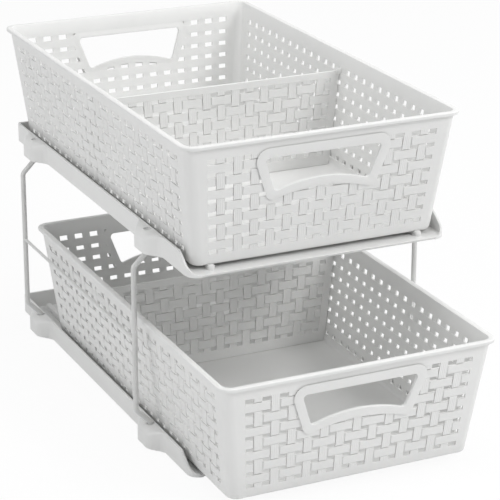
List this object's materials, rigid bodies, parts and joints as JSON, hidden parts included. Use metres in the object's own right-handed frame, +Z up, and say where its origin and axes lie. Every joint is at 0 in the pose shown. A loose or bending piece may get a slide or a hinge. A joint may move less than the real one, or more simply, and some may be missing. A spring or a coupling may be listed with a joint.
{
  "type": "pull out cabinet basket",
  "caption": "Two-tier organiser: woven-look tapered baskets with hand holds slide forward on shallow trays that bent wire posts hold one above the other.",
  "frame": {"origin": "on the resting plane, at the middle of the whole part's footprint with the lower basket drawn out 64 mm", "axes": "+X to the right as seen from the front, +Y to the back of the cabinet, +Z up; the baskets pull out along -Y"},
  "size_m": [0.2472, 0.4508, 0.2641],
  "materials": {
    "plastic": "satin moulded",
    "wire": "white powder coat",
    "pad": "matte"
  },
  "bodies": {
    "frame": {"lower_tray": "plastic", "upper_tray": "plastic", "front_left_post": "wire", "front_right_post": "wire", "rear_left_post": "wire", "rear_right_post": "wire", "left_brace": "wire", "right_brace": "wire", "front_left_foot": "pad", "front_right_foot": "pad", "rear_left_foot": "pad", "rear_right_foot": "pad"},
    "lower_drawer": {"lower_basket": "plastic", "lower_divider": "plastic"},
    "upper_drawer": {"upper_basket": "plastic", "upper_divider": "plastic"}
  },
  "joints": [
    {"name": "lower_basket_slide", "type": "slide", "parent": "frame", "child": "lower_drawer", "axis": [0, -1, 0], "range_m": [-0.069, 0.116]},
    {"name": "upper_basket_slide", "type": "slide", "parent": "frame", "child": "upper_drawer", "axis": [0, -1, 0], "range_m": [-0.005, 0.18]}
  ]
}
